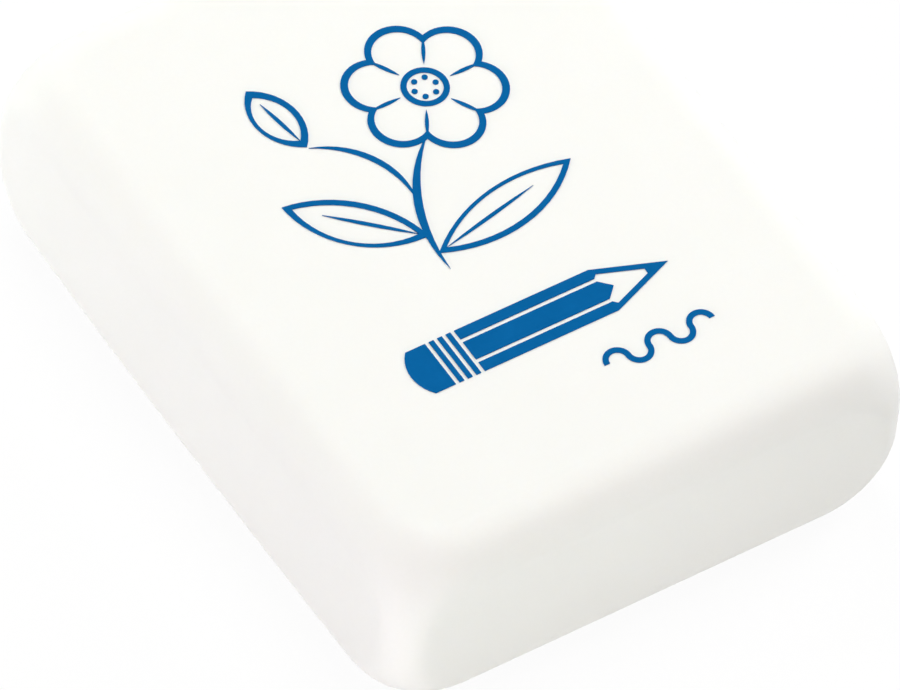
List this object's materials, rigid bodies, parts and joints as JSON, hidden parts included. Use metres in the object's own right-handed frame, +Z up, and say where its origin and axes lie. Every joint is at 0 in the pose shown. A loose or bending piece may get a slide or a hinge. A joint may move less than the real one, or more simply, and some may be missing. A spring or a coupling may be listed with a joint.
{
  "type": "rubber eraser",
  "caption": "Flat white moulded rubber eraser with well rounded edges and a blue flower and pencil printed on its top face.",
  "frame": {"origin": "middle of the underside, on the surface that the eraser lies on", "axes": "+X across the block, +Y along it from the near end to the far end, +Z up out of the printed face"},
  "size_m": [0.0234, 0.0298, 0.009],
  "materials": {
    "white_rubber": "matt and slightly chalky, cream white all through",
    "blue_ink": "thin opaque printed ink, satin"
  },
  "bodies": {
    "root": {"eraser_body": "white_rubber", "top_print": "blue_ink"}
  },
  "joints": []
}
